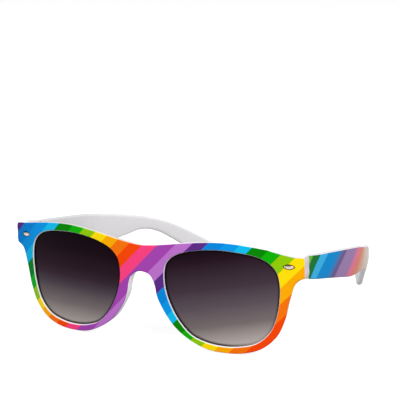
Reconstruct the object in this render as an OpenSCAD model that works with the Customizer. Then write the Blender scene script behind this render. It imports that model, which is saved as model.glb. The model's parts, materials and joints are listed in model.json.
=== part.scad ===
// Folding sunglasses with a moulded full-rim front, two gradient lenses and two moulded temples.
// The front faces -Y, the temples run to +Y, +Z is up. Left and right are the wearer's, so left is +X.
// The shapes are drawn with the front upright and the whole pair is then tilted to stand level.

/* [Lens openings] */
// Width of one lens opening
eye_w = 50.2; // [46:0.1:56]
// Height of one lens opening
eye_h = 41.8; // [36:0.1:46]
// Gap between the two lens openings, over the nose
eye_gap = 22.6; // [20:0.1:26]

/* [Front] */
// Radius of the curve that the front is bent to, seen from above
base_r = 222; // [160:1:320]
// Thickness of the front from face to back
front_t = 4; // [3.6:0.1:5]
// Height of the rim over the middle of the opening
rim_top = 3.7; // [3:0.1:5]
// Width of the rim under the opening
rim_low = 3.5; // [3:0.1:4.5]
// Width of the rim beside the cheek
rim_side = 4.7; // [4:0.1:5.5]
// Width of the rim beside the nose
rim_nose = 5.6; // [5:0.1:6.4]
// Depth of the bridge from its top edge to the nose arch
bridge_h = 12.3; // [10:0.1:15]
// Reach of an end-piece beyond its lens opening
end_w = 11; // [9.5:0.1:13]
// Height of the outer side of an end-piece
end_h = 9.9; // [9.6:0.1:12]
// How much narrower the back of the front is than its face, along the top and the cheeks
back_in = 1.2; // [0.8:0.1:1.4]
// Size of the rounded edges of the front
edge_r = 0.8; // [0.5:0.05:1]

/* [Lenses] */
// Thickness of a lens
lens_t = 1.6; // [1.2:0.1:1.8]
// Depth of the lens face behind the face of the front
lens_recess = 1.1; // [1:0.1:1.5]
// How far the lens edge reaches into its groove
groove_d = 1; // [0.7:0.1:1.4]
// Gap between a lens and its groove
lens_gap = 0.05; // [0.03:0.01:0.1]

/* [Nose pads] */
// How far a nose pad stands out behind the front
pad_out = 4.6; // [4:0.1:5.4]
// Thickness of a nose pad
pad_t = 3; // [2.4:0.1:3.6]
// Outward slant of a nose pad, in degrees
pad_flare = 38; // [30:1:42]

/* [Temples] */
// Length of a temple along Y, from the hinge seat to the tip
temple_len = 128; // [110:1:140]
// Drop of the middle of the tip below the hinge
tip_drop = 40.2; // [36:0.1:44]
// How far the tip stands inward of the hinge end, on the outer side
temple_bow = 31; // [24:0.1:34]
// Height of the temple at the hinge
temple_h = 10.4; // [9:0.1:11]
// Height of the temple at its widest
temple_wide = 12.8; // [11:0.1:15]
// Height of the temple at the ear bend
temple_ear = 5.9; // [5:0.1:7]
// Height of the temple at its tip
temple_tip = 9; // [8:0.1:10.5]
// Thickness of the temple at the hinge
temple_t = 3.6; // [3:0.1:4.2]
// Thickness of the temple at its tip
tip_t = 2.8; // [2.2:0.1:3.4]
// Gap between a temple and its seat on the front
seat_gap = 0.1; // [0.05:0.05:0.3]

/* [Hinges] */
// Depth of the middle of a hinge below the top of its end-piece
hinge_drop = 5.9; // [5.6:0.1:6.2]
// Outer radius of a hinge knuckle
knuckle_r = 1.7; // [1.5:0.1:2]
// Height of one hinge knuckle
knuckle_h = 2; // [1.6:0.1:2.4]
// Running gap between knuckles
knuckle_gap = 0.08; // [0.05:0.01:0.15]
// Radius of the screw shank
screw_r = 0.7; // [0.6:0.05:0.9]
// Radial clearance of the screw in a knuckle
screw_fit = 0.05; // [0.02:0.01:0.09]
// Radius of the screw head
head_r = 1.2; // [1:0.05:1.4]
// Height of the screw head
head_h = 0.6; // [0.5:0.05:0.9]
// Thickness of a hinge plate
plate_t = 1.1; // [0.9:0.1:1.4]
// Length of the plate in the front
plate_w = 6; // [5:0.1:7]
// Length of the plate in the temple
blade_plate_l = 8; // [6:0.1:12]
// Gap between a hinge plate and its pocket
pocket_gap = 0.04; // [0.02:0.01:0.08]

/* [Rivets] */
// Length of a rivet face
rivet_w = 5.4; // [4.6:0.1:6.4]
// Height of a rivet face
rivet_h = 2.4; // [2:0.1:3]
// How far a rivet face stands proud of the front
rivet_proud = 0.3; // [0.2:0.05:0.5]
// Depth of the recess under a rivet face
rivet_sink = 0.6; // [0.4:0.1:1]
// Radius of a rivet peg
peg_r = 0.9; // [0.7:0.1:1.1]
// Length of a rivet peg below the recess
peg_l = 1.8; // [1.2:0.1:2.2]

/* [Hidden] */

$fn = 64;
// Steps between two shape points on each outline
front_steps = 3;
eye_steps = 4;
temple_steps = 4;
far = 60;

// Half sizes and places of the openings
ew = eye_w / 2;
eh = eye_h / 2;
eye_x = eye_gap / 2 + ew;
end_x = eye_x + ew + end_w;
end_top = eh - 0.8;
end_low = end_top - end_h;
bridge_top = eh - 0.5;
bridge_low = bridge_top - bridge_h;

// Depth of the front's face and back at a distance x from the middle
function face_y(x) = base_r - sqrt(pow(base_r, 2) - x * x);
function shell_y(x) = base_r - sqrt(pow(base_r - front_t, 2) - x * x);
function ease(t) = let (c = min(1, max(0, t))) c * c * (3 - 2 * c);

// The temple's outer side is a little inboard of the end-piece, and its inner side clears the knuckles
side_step = 0.3;
knuckle_side = 0.2;
temple_x = end_x - side_step;
blade_in_x = temple_x - temple_t;
hinge_x = blade_in_x - knuckle_r - knuckle_side;
// The flat seat for the temple's end, and the hinge line in its plane
seat_y = shell_y(end_x) + 0.1;
hinge_y = seat_y;
hinge_z = end_top - hinge_drop;
// The end-piece's return stands outboard of the knuckles
relief_gap = 0.12;
return_x = hinge_x + knuckle_r + relief_gap;
// Over how much of its width the back rises from the curved front to the seat
return_w = 1.6;

// The back of the front runs out to the flat hinge seat on each end-piece
function back_y(x) =
    let (b = shell_y(x), a = abs(x))
    b + (seat_y - b) * ease((a - return_x + return_w) / return_w);

// Smooth curve through points, with chord-length tangents
function tangent(a, b, c) =
    let (p = norm(b - a), q = norm(c - b))
    ((b - a) / p * q + (c - b) / q * p) / (p + q);
function on_curve(a, ta, b, tb, t) =
    let (d = norm(b - a))
    (2 * t * t * t - 3 * t * t + 1) * a + (t * t * t - 2 * t * t + t) * d * ta
    + (3 * t * t - 2 * t * t * t) * b + (t * t * t - t * t) * d * tb;
function loop_curve(p, steps) =
    let (n = len(p), m = [for (i = [0:n - 1]) tangent(p[(i + n - 1) % n], p[i], p[(i + 1) % n])])
    [for (i = [0:n - 1], k = [0:steps - 1]) on_curve(p[i], m[i], p[(i + 1) % n], m[(i + 1) % n], k / steps)];
function path_tangents(p) =
    let (n = len(p))
    [for (i = [0:n - 1])
        i == 0 ? (p[1] - p[0]) / norm(p[1] - p[0])
        : i == n - 1 ? (p[i] - p[i - 1]) / norm(p[i] - p[i - 1])
        : tangent(p[i - 1], p[i], p[i + 1])];
function path_curve(p, steps) =
    let (n = len(p), m = path_tangents(p))
    concat([for (i = [0:n - 2], k = [0:steps - 1]) on_curve(p[i], m[i], p[i + 1], m[i + 1], k / steps)],
           [p[n - 1]]);

// A closed outline moved outward by d, for points that run clockwise seen from the front
function outward(p, i) =
    let (n = len(p), t = p[(i + 1) % n] - p[(i + n - 1) % n])
    [-t[1], t[0]] / norm(t);
function grown(p, d) = [for (i = [0:len(p) - 1]) p[i] + d * outward(p, i)];
function grown_by(p, d) = [for (i = [0:len(p) - 1]) p[i] + d[i] * outward(p, i)];

// Shape of a lens opening, across and up from its middle, in half widths and half heights,
// clockwise from the top of the nose side
eye_shape = [
    [-0.945, 0.63], [-0.84, 0.77], [-0.62, 0.89], [-0.34, 0.96], [0, 0.99], [0.32, 0.965],
    [0.62, 0.905], [0.83, 0.79], [0.945, 0.63], [1, 0.36], [0.995, 0.02], [0.945, -0.33],
    [0.84, -0.64], [0.63, -0.88], [0.34, -0.985], [0.08, -1.005], [-0.24, -0.955], [-0.5, -0.835],
    [-0.71, -0.59], [-0.86, -0.3], [-0.955, 0], [-0.99, 0.34]];
eye_points = [for (p = eye_shape) [eye_x + p[0] * ew, p[1] * eh]];
eye_outline = loop_curve(eye_points, eye_steps);

// Width of the rim at shape point i, from the cheek round the bottom to the nose:
// how much of the widening at the cheek and at the nose each point has
rim_first = 10;
cheek_share = [1, 0.6, 0.4, 0.2, 0.15, 0, 0, 0, 0, 0, 0];
nose_share = [0, 0, 0, 0, 0, 0, 0, -0.2, 0.28, 0.66, 1];
rim_last = rim_first + len(nose_share) - 1;
function rim_w(i) =
    rim_low + (rim_side - rim_low) * cheek_share[i - rim_first]
    + (rim_nose - rim_low) * nose_share[i - rim_first];

// Outline of the front from the middle of its top edge to the nose arch
top_shape = [[-0.96, 0.9], [-0.66, 2.1], [-0.34, 3.1], [0, 3.7], [0.31, 3.4], [0.62, 2.5], [0.94, 1.2]];
front_half = concat(
    [[6, bridge_top + 0.5]],
    [for (p = top_shape) [eye_x + p[0] * ew, eh + p[1] * rim_top / 3.7]],
    [[end_x - 6, end_top + 0.75], [end_x - 3.2, end_top + 0.3], [end_x - 1.4, end_top - 0.05],
     [end_x - 0.4, end_top - 0.45], [end_x, end_top - 1.5], [end_x, (end_top + end_low) / 2],
     [end_x - 0.02, end_low + 1.1], [end_x - 0.4, end_low + 0.2], [end_x - 1.4, end_low - 0.25],
     [end_x - 2.8, end_low - 0.9], [end_x - 3.8, end_low - 1.8], [end_x - 4.4, end_low - 3],
     [end_x - 4.9, end_low - 4.5], [end_x - 5.5, end_low - 6.7]],
    [for (i = [rim_first:rim_last]) eye_points[i] + rim_w(i) * outward(eye_points, i)],
    [[eye_gap / 2 - 4.9, bridge_low - 6.1], [eye_gap / 2 - 5.9, bridge_low - 3.2],
     [eye_gap / 2 - 7.2, bridge_low - 1.3]]);
front_points = concat(
    [[0, bridge_top]], front_half, [[0, bridge_low]],
    [for (i = [len(front_half) - 1:-1:0]) [-front_half[i][0], front_half[i][1]]]);
front_outline = loop_curve(front_points, front_steps);

// Skin from ring to ring with a flat cap at each end
module loft(rings) {
    n = len(rings[0]);
    m = len(rings);
    polyhedron(
        points = [for (r = rings, p = r) p],
        faces = concat(
            [[for (i = [n - 1:-1:0]) i]],
            [for (j = [0:m - 2], i = [0:n - 1], f = [0, 1])
                let (a = j * n + i, b = j * n + (i + 1) % n)
                f == 0 ? [a, b, a + n] : [b, b + n, a + n]],
            [[for (i = [0:n - 1]) (m - 1) * n + i]]),
        convexity = 8);
}

// Rings that follow the curved front: at a depth from its face (u = 0) or from its back (u = 1).
// The outlines run clockwise, so the rings take their points in reverse.
function turned(p) = [for (i = [len(p) - 1:-1:0]) p[i]];
function ring(p, u, depth) =
    [for (q = turned(p)) [q[0], (u == 0 ? face_y(q[0]) : back_y(q[0])) + depth, q[1]]];
function flat_ring(p, y) = [for (q = turned(p)) [q[0], y, q[1]]];

// Share of back_in at each point of the outline: all of it along the top and the cheeks, none at
// the end-pieces, and none beside the nose, where it grows from nose_side on
nose_side = 14;
nose_fade = 12;
bridge_sill = bridge_low + 4;
end_from = end_x - 6.5;
end_over = end_low - 5;
end_fade = 3;
function back_share(p) =
    let (nose = p[1] > bridge_sill ? 1 : ease((abs(p[0]) - nose_side) / nose_fade),
         end = ease((abs(p[0]) - end_from) / end_fade) * ease((p[1] - end_over) / end_fade))
    nose * (1 - end);
back_outline = grown_by(front_outline, [for (p = front_outline) -back_in * back_share(p)]);

// Body of the front with rounded edges, before it is cut to its curved face and back
module front_envelope() {
    in_a = grown(front_outline, -1.2 * edge_r);
    in_b = grown(front_outline, -0.35 * edge_r);
    back_a = grown(back_outline, -1.2 * edge_r);
    back_b = grown(back_outline, -0.35 * edge_r);
    loft([flat_ring(in_a, -8), ring(in_a, 0, -0.6 * edge_r), ring(in_b, 0, 0.45 * edge_r),
          ring(front_outline, 0, 1.15 * edge_r), ring(back_outline, 1, -1.15 * edge_r),
          ring(back_b, 1, -0.45 * edge_r), ring(back_a, 1, 0.6 * edge_r), flat_ring(back_a, far / 2)]);
}

// What is cut away for one lens opening, with rounded edges
module eye_cut() {
    out_a = grown(eye_outline, 1.2 * edge_r);
    out_b = grown(eye_outline, 0.35 * edge_r);
    loft([flat_ring(out_a, -8), ring(out_a, 0, -0.6 * edge_r), ring(out_b, 0, 0.45 * edge_r),
          ring(eye_outline, 0, 1.15 * edge_r), ring(eye_outline, 1, -0.6 * edge_r),
          ring(out_b, 1, 0.2 * edge_r), flat_ring(out_b, far / 2)]);
}

// Layer of the curved front between two depths behind its face
module layer(d0, d1) {
    difference() {
        translate([0, base_r, -far / 2]) cylinder(r = base_r - d0, h = far, $fn = 180);
        translate([0, base_r, -far / 2 - 1]) cylinder(r = base_r - d1, h = far + 2, $fn = 180);
    }
}

module upright(h0, h1, p) {
    translate([0, h1, 0]) rotate([90, 0, 0]) linear_extrude(height = h1 - h0) polygon(p);
}

module lens_blank(d, d0, d1) {
    intersection() {
        upright(-2, far / 2, grown(eye_outline, d));
        layer(d0, d1);
    }
}

// A moulded nose pad: ovals along the nose side of the rim, slanted away from the nose
pad_path = [[eye_gap / 2 - 2.1, 5], [eye_gap / 2 - 1.8, 2], [eye_gap / 2 - 0.9, -2],
            [eye_gap / 2 + 0.8, -6], [eye_gap / 2 + 3.3, -9.8]];
// How far a pad's inner end reaches into the back of the rim
pad_root = 2;
module nose_pad() {
    path = path_curve(pad_path, 3);
    n = len(path);
    loft([for (j = [0:n - 1])
        let (t = j / (n - 1), swell = sqrt(max(0.04, 1 - pow(2 * t - 1, 2))),
             a = path[max(0, j - 1)], b = path[min(n - 1, j + 1)], s = (b - a) / norm(b - a),
             half_l = (pad_out / 2 + 1.2) * (0.45 + 0.55 * swell) * min(1, swell + 0.25),
             half_t = pad_t / 2 * min(1, swell + 0.35),
             y0 = face_y(path[j][0]) + front_t - pad_root + half_l)
        [for (k = [0:15])
            let (w = k * 22.5, u = half_t * cos(w), v = half_l * sin(w),
                 across = u * cos(pad_flare) + v * sin(pad_flare),
                 along = v * cos(pad_flare) - u * sin(pad_flare))
            [path[j][0] - s[1] * across, y0 + along, path[j][1] + s[0] * across]]]);
}

// Outline of a rivet face: where two circles overlap
module almond(w, h, l) {
    r = (w * w + h * h) / (4 * h);
    intersection() {
        translate([0, 0, r - h / 2]) rotate([-90, 0, 0]) cylinder(r = r, h = l, $fn = 180);
        translate([0, 0, h / 2 - r]) rotate([-90, 0, 0]) cylinder(r = r, h = l, $fn = 180);
    }
}

// Place on the front's face, turned square to it
rivet_x = end_x - 6.6;
rivet_z = end_top - 4.7;
module on_face(x, z) {
    translate([x, face_y(x), z]) rotate([0, 0, asin(x / base_r)]) children();
}

module rivet() {
    crown_r = (pow(rivet_w, 2) / 4 + pow(rivet_proud, 2)) / (2 * rivet_proud);
    on_face(rivet_x, rivet_z) {
        intersection() {
            translate([0, -rivet_proud, 0]) almond(rivet_w, rivet_h, rivet_proud + rivet_sink);
            translate([0, crown_r - rivet_proud, 0]) sphere(r = crown_r, $fn = 300);
        }
        translate([0, rivet_sink - 0.01, 0]) rotate([-90, 0, 0]) cylinder(r = peg_r, h = peg_l + 0.01);
    }
}

module rivet_recess() {
    on_face(rivet_x, rivet_z) {
        translate([0, -2, 0]) almond(rivet_w + 0.1, rivet_h + 0.1, rivet_sink + 2.03);
        rotate([-90, 0, 0]) cylinder(r = peg_r + 0.03, h = rivet_sink + peg_l + 0.05);
    }
}

// Hinge: two knuckles on the front, one on the temple between them
pitch = knuckle_h + knuckle_gap;
hinge_tall = 3 * knuckle_h + 2 * knuckle_gap;
// The front's plate lies mostly inboard of the knuckles and stands a little proud of the back
plate_x = hinge_x - 1.4;
plate_y = shell_y(plate_x);
plate_turn = asin(plate_x / base_r);
plate_proud = 0.2;
// How far a pocket's mouth is cut past the surface
mouth = 2;

module front_plate(g) {
    translate([plate_x, plate_y, hinge_z]) rotate([0, 0, plate_turn])
        translate([-plate_w / 2 - g, -plate_t + plate_proud - g, -hinge_tall / 2 - g])
            cube([plate_w + 2 * g, plate_t + (g > 0 ? mouth : 0) + g, hinge_tall + 2 * g]);
}

// Room in the front for the knuckles and their legs
module knuckle_relief() {
    translate([hinge_x - knuckle_r - relief_gap, plate_y - plate_t / 2 - pocket_gap,
               hinge_z - hinge_tall / 2 - pocket_gap])
        cube([2 * (knuckle_r + relief_gap), far, hinge_tall + 2 * pocket_gap]);
}

module screw_bore(h0, h1) {
    translate([hinge_x, hinge_y, h0]) cylinder(r = screw_r + screw_fit, h = h1 - h0);
}

module front_hinge() {
    difference() {
        union() {
            front_plate(0);
            for (k = [-1, 1]) translate([0, 0, hinge_z + k * pitch - knuckle_h / 2]) {
                translate([hinge_x, hinge_y, 0]) cylinder(r = knuckle_r, h = knuckle_h);
                translate([hinge_x - knuckle_r, plate_y - plate_t / 2, 0])
                    cube([2 * knuckle_r, hinge_y - plate_y + plate_t / 2, knuckle_h]);
            }
        }
        screw_bore(hinge_z - far / 4, hinge_z + far / 4);
    }
}

// The temple's plate starts a little behind the seat and is let into the inner side
blade_plate_x = blade_in_x - 0.3;
blade_plate_y = hinge_y + 1.2;
module blade_plate(g) {
    translate([blade_plate_x - (g > 0 ? mouth : 0), blade_plate_y - g, hinge_z - hinge_tall / 2 - g])
        cube([plate_t + (g > 0 ? mouth : 0) + g, blade_plate_l + 2 * g, hinge_tall + 2 * g]);
}

module temple_hinge() {
    difference() {
        union() {
            blade_plate(0);
            translate([0, 0, hinge_z - knuckle_h / 2]) {
                translate([hinge_x, hinge_y, 0]) cylinder(r = knuckle_r, h = knuckle_h);
                translate([hinge_x, hinge_y, 0])
                    cube([blade_plate_x - hinge_x + 0.05, blade_plate_y - hinge_y + knuckle_r, knuckle_h]);
            }
        }
        screw_bore(hinge_z - far / 4, hinge_z + far / 4);
    }
}

// The screw's head lies over the upper knuckle
head_lift = 0.03;
slot_w = 0.32;
module hinge_screw() {
    top = hinge_z + hinge_tall / 2 + head_lift;
    translate([hinge_x, hinge_y, 0]) {
        translate([0, 0, hinge_z - hinge_tall / 2]) cylinder(r = screw_r, h = hinge_tall + 2 * head_lift);
        difference() {
            translate([0, 0, top]) cylinder(r = head_r, h = head_h);
            translate([-head_r - 1, -slot_w / 2, top + head_h / 2]) cube([2 * head_r + 2, slot_w, head_h]);
        }
    }
}

// Line of the temple: distance behind the seat, height above the middle of its front end, its own
// height, and distance inward of its outer side, for a temple 128 long whose tip drops 40.2 and
// stands 31 inward
seat_z = hinge_z;
reach = temple_len / 128;
drop = tip_drop / 40.2;
bow = temple_bow / 31;
widen = temple_wide - temple_h;
narrow = temple_wide - temple_ear;
flare = temple_tip - temple_ear;
mid_line = [
    [0, 0, temple_h, 0], [10, -2.3, temple_h + 0.12 * widen, 0], [20, -4.2, temple_h + 0.39 * widen, -0.4],
    [32, -6.6, temple_h + 0.7 * widen, -0.65], [44, -9, temple_h + 0.93 * widen, -0.55],
    [52, -10.6, temple_wide, 0.1], [60, -12.3, temple_wide, 1.45],
    [68, -13.8, temple_wide - 0.02 * narrow, 3.8], [76, -14.4, temple_ear + 0.63 * narrow, 6.7],
    [83, -14.7, temple_ear + 0.21 * narrow, 9.4], [90, -16, temple_ear, 12.2],
    [97, -18.9, temple_ear + 0.07 * flare, 15.2], [104, -23.2, temple_ear + 0.35 * flare, 18.7],
    [112, -29, temple_ear + 0.6 * flare, 23.1], [119, -34.8, temple_ear + 0.88 * flare, 27.5],
    [124, -40.2, temple_tip, 31]];

mid_curve = path_curve([for (p = mid_line) [p[0] * reach, p[1] * drop, p[2], p[3] * bow]], temple_steps);
mid_n = len(mid_curve);
tip_cap = [0.4, 0.7, 0.9, 0.985];
tip_step = mid_curve[mid_n - 1] - mid_curve[mid_n - 2];
tip_dir = [tip_step[0], tip_step[1]] / norm([tip_step[0], tip_step[1]]);
tip_lean = tip_step[3] / tip_step[0];
// Stations of the temple: distance, height, direction, half height, half thickness, distance inward
// and inward lean
temple_stations = concat(
    [for (i = [0:mid_n - 1])
        let (a = mid_curve[max(0, i - 1)], b = mid_curve[min(mid_n - 1, i + 1)],
             d = [b[0] - a[0], b[1] - a[1]] / norm([b[0] - a[0], b[1] - a[1]]),
             square = ease(mid_curve[i][0] / 12), e = [d[0], d[1] * square] / norm([d[0], d[1] * square]),
             c = mid_curve[i], f = c[0] / temple_len)
        [c[0], c[1], e, c[2] / 2, (temple_t + (tip_t - temple_t) * f) / 2, c[3],
         square * (b[3] - a[3]) / (b[0] - a[0])]],
    [for (k = tip_cap)
        let (c = mid_curve[mid_n - 1], r = temple_tip / 2)
        [c[0] + tip_dir[0] * k * r, c[1] + tip_dir[1] * k * r, tip_dir, r * sqrt(1 - k * k),
         tip_t / 2 * (1 - 0.5 * k * k), c[3] + tip_dir[0] * k * r * tip_lean, tip_lean]]);

// Where the flat blade begins to turn into the rounded ear end, and over what length
ear_from = 40;
ear_fade = 30;
// Rounded section of the temple: across the blade and up it, in half sizes with corner radius r
function blade_section(ht, hh, r) =
    [for (q = [[1, 1], [-1, 1], [-1, -1], [1, -1]], w = [0, 30, 60, 90])
        let (v = w + (q[0] > 0 ? (q[1] > 0 ? 0 : 270) : (q[1] > 0 ? 90 : 180)))
        [q[0] * (ht - r) + r * cos(v), q[1] * (hh - r) + r * sin(v)]];

function temple_ring(st) =
    let (s = st[0], e = st[2], hh = st[3], ht = st[4], l = st[6], m = sqrt(1 + l * l),
         x = temple_x - st[5] - ht / m, y = seat_y + seat_gap + s - ht * l / m,
         r = min(0.45 * hh, (0.45 + 0.45 * ease((s - ear_from) / ear_fade)) * ht))
    [for (q = blade_section(ht, hh, r))
        let (up = [-e[1], e[0]])
        [x + q[0] / m - up[0] * q[1] * l, y + q[0] * l / m + up[0] * q[1], seat_z + st[1] + up[1] * q[1]]];
temple_rings = [for (st = temple_stations) temple_ring(st)];

module temple() {
    difference() {
        loft(temple_rings);
        blade_plate(pocket_gap);
    }
}

// The pair is tilted so that the rims and the tips stand on one level, then moved to its origin
function tilted(p, a) = [p[0], p[1] * cos(a) - p[2] * sin(a), p[1] * sin(a) + p[2] * cos(a)];
foot_points = [for (p = front_outline) [p[0], face_y(p[0]) + 1.15 * edge_r, p[1]]];
tip_points = [for (r = temple_rings, p = r) p];
function lowest(points, a) = min([for (p = points) tilted(p, a)[2]]);
foot_z = lowest(foot_points, 0);
tip_z = lowest(tip_points, 0);
foot_y = max([for (p = foot_points) p[2] < foot_z + 0.02 ? p[1] : 0]);
span = max([for (p = tip_points) p[2] < tip_z + 0.02 ? p[1] : 0]) - foot_y;
first_tilt = atan2(foot_z - tip_z, span);
rest_tilt = first_tilt + asin((lowest(foot_points, first_tilt) - lowest(tip_points, first_tilt)) / span);
floor_z = min(lowest(foot_points, rest_tilt), lowest(tip_points, rest_tilt));
back_end = max([for (p = tip_points) tilted(p, rest_tilt)[1]]);
front_end = tilted([0, 0, bridge_top - 0.75 * edge_r], rest_tilt)[1];

module stand() {
    translate([0, -(front_end + back_end) / 2, -floor_z]) rotate([rest_tilt, 0, 0]) children();
}
module both() {
    children();
    mirror([1, 0, 0]) children();
}
module side(left) {
    stand() mirror([left ? 0 : 1, 0, 0]) children();
}

module front_frame() {
    color("white") stand() difference() {
        union() {
            intersection() {
                front_envelope();
                union() {
                    layer(0, front_t);
                    both() intersection() {
                        translate([return_x, -2, -far / 2]) cube([end_x, seat_y + 2, far]);
                        layer(0, 3 * front_t);
                    }
                }
                translate([-far * 2, -4, -far]) cube([far * 4, seat_y + 4, far * 2]);
            }
            both() nose_pad();
        }
        both() {
            eye_cut();
            lens_blank(groove_d + lens_gap, lens_recess - lens_gap, lens_recess + lens_t + lens_gap);
            front_plate(pocket_gap);
            knuckle_relief();
            rivet_recess();
        }
    }
}
module lens(left) {
    color([0.2, 0.16, 0.2]) side(left) lens_blank(groove_d, lens_recess, lens_recess + lens_t);
}
module rivet_node(left) { color("silver") side(left) rivet(); }
module front_hinge_node(left) { color("silver") side(left) front_hinge(); }
module hinge_screw_node(left) { color("dimgray") side(left) hinge_screw(); }
module temple_node(left) { color("gainsboro") side(left) temple(); }
module temple_hinge_node(left) { color("silver") side(left) temple_hinge(); }

front_frame();
lens(true);  // lens_left
lens(false);  // lens_right
rivet_node(true);  // rivet_left
rivet_node(false);  // rivet_right
front_hinge_node(true);  // front_hinge_left
front_hinge_node(false);  // front_hinge_right
hinge_screw_node(true);  // hinge_screw_left
hinge_screw_node(false);  // hinge_screw_right
temple_node(true);  // temple_left
temple_node(false);  // temple_right
temple_hinge_node(true);  // temple_hinge_left
temple_hinge_node(false);  // temple_hinge_right
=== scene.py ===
# %% [markdown]
# Striped sunglasses
#
# A pair of moulded sunglasses: one curved white front with a striped print on its face, two bent
# lens panes, two temples that fold on small metal hinges, and two almond rivets.
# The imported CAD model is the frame. It gives every size, and each piece that is made here sits
# exactly where the frame says. What this script adds is what a moulder, a printer and a photographer
# would: fine curved surfaces, the print, the tint of the lenses, the metal, and soft light.

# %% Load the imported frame
import json
import math

import bmesh
import bpy
import numpy as np
from mathutils import Matrix, Vector
from mathutils.geometry import delaunay_2d_cdt


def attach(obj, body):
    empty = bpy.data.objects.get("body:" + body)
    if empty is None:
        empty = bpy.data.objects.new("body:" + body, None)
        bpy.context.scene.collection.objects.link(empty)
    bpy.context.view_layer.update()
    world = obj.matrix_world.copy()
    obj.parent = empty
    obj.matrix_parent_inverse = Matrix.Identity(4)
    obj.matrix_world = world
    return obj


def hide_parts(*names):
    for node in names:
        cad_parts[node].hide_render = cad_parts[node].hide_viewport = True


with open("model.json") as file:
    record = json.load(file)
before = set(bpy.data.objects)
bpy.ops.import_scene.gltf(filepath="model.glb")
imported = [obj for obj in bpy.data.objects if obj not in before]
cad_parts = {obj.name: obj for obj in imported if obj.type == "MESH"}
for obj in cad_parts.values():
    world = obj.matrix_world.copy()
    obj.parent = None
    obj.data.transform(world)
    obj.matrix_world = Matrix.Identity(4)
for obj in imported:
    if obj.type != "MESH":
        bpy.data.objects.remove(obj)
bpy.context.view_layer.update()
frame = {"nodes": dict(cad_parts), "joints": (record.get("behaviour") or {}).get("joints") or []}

# %% [markdown]
# Two ways to look at the same pair
#
# A designer draws glasses upright, as worn, in millimetres: x across the face, y back along the
# temples, z up. The frame has them standing on a table, so the whole pair leans forward by a few
# degrees until the rims and the temple tips touch one level.
# All shapes below are drawn upright, then placed. The lean and the place aren't typed in: the left
# hinge's axis and position in the frame give both, so the pieces follow if the frame is packed again.

# %% From upright millimetres to the frame
FACE_R, FRONT_T = 222.0, 4.0
EYE_GAP, EYE_W, EYE_H = 22.6, 50.2, 41.8
END_W, END_H, END_DROP = 11.0, 9.9, 0.8
BRIDGE_H, BRIDGE_DROP = 12.3, 0.5
SEAT_PROUD, HINGE_X, HINGE_DROP = 0.1, 66.7, 5.9

HALF_W, HALF_H = EYE_W / 2, EYE_H / 2
EYE_X = EYE_GAP / 2 + HALF_W
END_X = EYE_X + HALF_W + END_W
END_TOP = HALF_H - END_DROP
END_LOW = END_TOP - END_H
BRIDGE_TOP = HALF_H - BRIDGE_DROP
BRIDGE_LOW = BRIDGE_TOP - BRIDGE_H


def face_y(x):
    """Depth of the front's curved face at x."""
    return FACE_R - np.sqrt(FACE_R**2 - np.square(x))


def shell_y(x):
    """Depth of the front's curved back at x."""
    return FACE_R - np.sqrt((FACE_R - FRONT_T) ** 2 - np.square(x))


SEAT_Y = float(shell_y(END_X)) + SEAT_PROUD
HINGE = np.array([HINGE_X, SEAT_Y, END_TOP - HINGE_DROP])
left_fold = next(j for j in frame["joints"] if j["name"] == "left_fold")
LEAN = math.atan2(-left_fold["axis"][1], left_fold["axis"][2])
TURN = np.array(Matrix.Rotation(LEAN, 3, "X"))
PLACE = np.array(left_fold["pos_m"]) - TURN @ HINGE * 0.001


def placed(points):
    """Upright millimetres to the frame's metres."""
    return np.asarray(points, float) @ TURN.T * 0.001 + PLACE


print(f"leans {math.degrees(LEAN):.3f} degrees, origin at {np.round(PLACE, 5)}")

# %% [markdown]
# Smooth outlines from a few points
#
# An outline on a drawing is a handful of points with a smooth curve through them. A spline object
# would do it, but its handles are hard to keep equal to the CAD's. So this is the same cubic curve
# as in the CAD source: each point's tangent is a blend of the chords on both sides, weighted so that
# a near neighbour counts more. More steps between points give a finer outline with the same shape.


# %% Curve through points
def smooth_curve(points, steps, closed=True):
    """Cubic curve through points, with this many steps from each point to the next."""
    p = np.array(points, float)
    chord = np.roll(p, -1, 0) - p
    length = np.linalg.norm(chord, axis=1, keepdims=True)
    way = chord / length
    way_in, length_in = np.roll(way, 1, 0), np.roll(length, 1, 0)
    tangent = (way_in * length + way * length_in) / (length + length_in)
    if not closed:
        tangent[0], tangent[-1] = way[0], way[-2]
    out = []
    for i in range(len(p) if closed else len(p) - 1):
        k = (i + 1) % len(p)
        for t in np.arange(steps) / steps:
            out.append(
                (2 * t**3 - 3 * t**2 + 1) * p[i]
                + (t**3 - 2 * t**2 + t) * length[i] * tangent[i]
                + (3 * t**2 - 2 * t**3) * p[k]
                + (t**3 - t**2) * length[i] * tangent[k]
            )
    return np.array(out if closed else out + [p[-1]])


def outward(p):
    """Unit normals of a closed outline whose points run clockwise, seen from the front."""
    t = np.roll(p, -1, 0) - np.roll(p, 1, 0)
    return np.stack([-t[:, 1], t[:, 0]], 1) / np.linalg.norm(t, axis=1, keepdims=True)


def grown(p, d):
    """The outline moved outwards by d, a number or one for each point."""
    return p + np.reshape(d, (-1, 1)) * outward(p)


# %% Outlines of the front and of a lens
eye_shape = [
    (-0.945, 0.63), (-0.84, 0.77), (-0.62, 0.89), (-0.34, 0.96), (0, 0.99), (0.32, 0.965),
    (0.62, 0.905), (0.83, 0.79), (0.945, 0.63), (1, 0.36), (0.995, 0.02), (0.945, -0.33),
    (0.84, -0.64), (0.63, -0.88), (0.34, -0.985), (0.08, -1.005), (-0.24, -0.955), (-0.5, -0.835),
    (-0.71, -0.59), (-0.86, -0.3), (-0.955, 0), (-0.99, 0.34),
]
eye_points = np.array(eye_shape) * (HALF_W, HALF_H) + (EYE_X, 0)
eye_outline = smooth_curve(eye_points, 12)

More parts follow.
